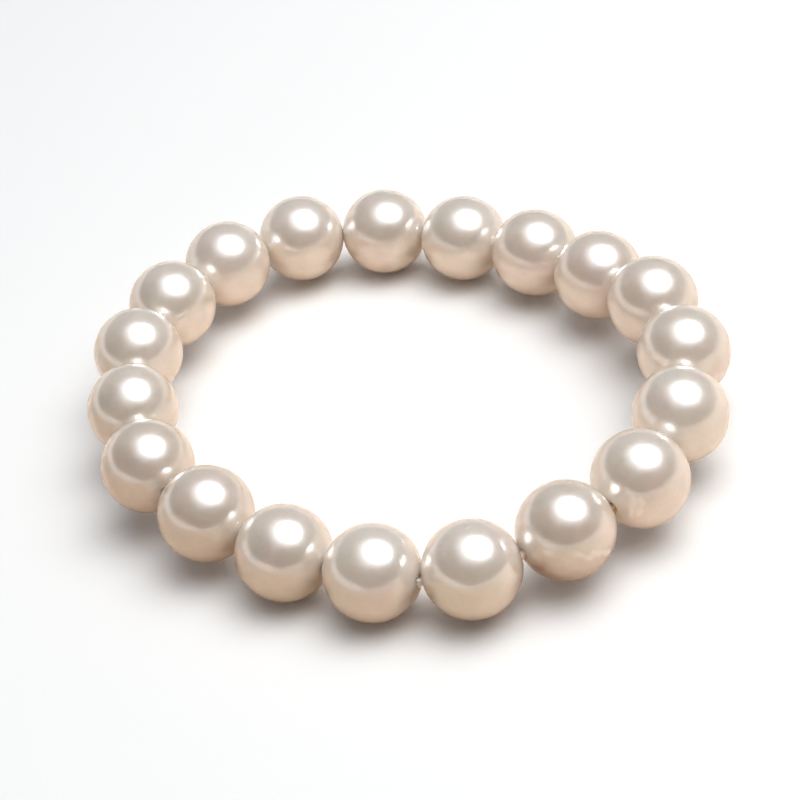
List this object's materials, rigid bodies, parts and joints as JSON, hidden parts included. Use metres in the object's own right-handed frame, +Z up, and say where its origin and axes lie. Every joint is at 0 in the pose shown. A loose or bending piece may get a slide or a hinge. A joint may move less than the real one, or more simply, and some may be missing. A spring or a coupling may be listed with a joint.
{
  "type": "pearl bracelet",
  "caption": "Stretch bracelet of round drilled pearls strung on a knotted elastic cord, lying open in an oval loop for the wrist.",
  "frame": {"origin": "on the table under the middle of the bracelet's box", "axes": "+Z up from the table, -Y towards the front of the loop, +X to its right seen from the front"},
  "size_m": [0.0694, 0.0736, 0.0131],
  "materials": {
    "pearl": "pearlescent cream lacquer with a satin sheen",
    "cord": "pale translucent elastic"
  },
  "bodies": {
    "root": {"pearl_01": "pearl", "pearl_02": "pearl", "pearl_03": "pearl", "pearl_04": "pearl", "pearl_05": "pearl", "pearl_06": "pearl", "pearl_07": "pearl", "pearl_08": "pearl", "pearl_09": "pearl", "pearl_10": "pearl", "pearl_11": "pearl", "pearl_12": "pearl", "pearl_13": "pearl", "pearl_14": "pearl", "pearl_15": "pearl", "pearl_16": "pearl", "pearl_17": "pearl", "pearl_18": "pearl", "pearl_19": "pearl", "elastic_cord": "cord"}
  },
  "joints": []
}
